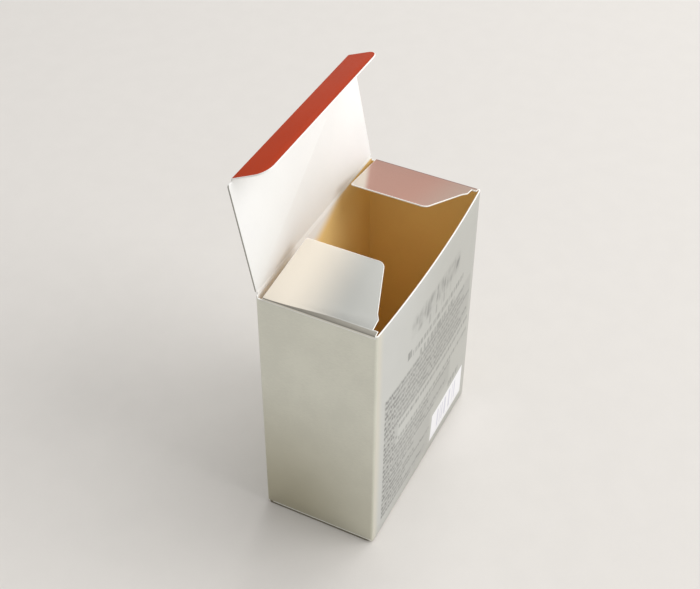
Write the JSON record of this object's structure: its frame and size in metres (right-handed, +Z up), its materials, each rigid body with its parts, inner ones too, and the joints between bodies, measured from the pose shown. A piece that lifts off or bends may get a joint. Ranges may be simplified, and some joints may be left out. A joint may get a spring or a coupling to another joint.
{
  "type": "folding carton",
  "caption": "Upright rectangular board carton with a hinged tuck lid, dust flaps and a closed tuck bottom; holds a small retail item.",
  "frame": {"origin": "middle of the box's footprint, on the underside of the bottom panel", "axes": "+Z up, -Y out of the printed front wall, -X out of the left narrow wall; the lid folds on the back wall at +Y"},
  "size_m": [0.082, 0.0511, 0.1462],
  "materials": {
    "silver_board": "satin silver print outside, orange-brown inside",
    "white_board": "white uncoated inside face",
    "red_board": "satin red print outside, white inside",
    "flap_board": "satin silver board, white cut edges"
  },
  "bodies": {
    "carton": {"carton_body": "silver_board"},
    "lid": {"lid": "white_board"},
    "tuck_flap": {"tuck_flap": "red_board"},
    "left_dust_flap": {"left_dust_flap": "flap_board"},
    "right_dust_flap": {"right_dust_flap": "flap_board"},
    "bottom_panel": {"bottom_panel": "silver_board"},
    "bottom_tuck_flap": {"bottom_tuck_flap": "silver_board"}
  },
  "joints": [
    {"name": "lid_hinge", "type": "hinge", "parent": "carton", "child": "lid", "pos_m": [0, 0.02075, 0.10055], "axis": [-1, 0, 0], "range_deg": [-100.8, 79.2]},
    {"name": "tuck_fold", "type": "hinge", "parent": "lid", "child": "tuck_flap", "pos_m": [0, 0.02838, 0.14053], "axis": [-1, 0, 0], "range_deg": [-28, 22]},
    {"name": "left_dust_fold", "type": "hinge", "parent": "carton", "child": "left_dust_flap", "pos_m": [-0.04075, 0, 0.09975], "axis": [0, -1, 0], "range_deg": [-15, 11.8]},
    {"name": "right_dust_fold", "type": "hinge", "parent": "carton", "child": "right_dust_flap", "pos_m": [0.04075, 0, 0.09975], "axis": [0, 1, 0], "range_deg": [-15, 11.8]},
    {"name": "bottom_hinge", "type": "hinge", "parent": "carton", "child": "bottom_panel", "pos_m": [0, 0.02075, 0.00025], "axis": [1, 0, 0], "range_deg": [0, 180]},
    {"name": "bottom_tuck_fold", "type": "hinge", "parent": "bottom_panel", "child": "bottom_tuck_flap", "pos_m": [0, -0.01995, 0.00025], "axis": [1, 0, 0], "range_deg": [0, 50]}
  ],
  "couplings": [
    {"joint": "tuck_fold", "follows": "lid_hinge", "ratio": 0.2777},
    {"joint": "left_dust_fold", "follows": "lid_hinge", "ratio": 0.1488},
    {"joint": "right_dust_fold", "follows": "lid_hinge", "ratio": 0.1488},
    {"joint": "bottom_tuck_fold", "follows": "bottom_hinge", "ratio": 0.2777}
  ]
}
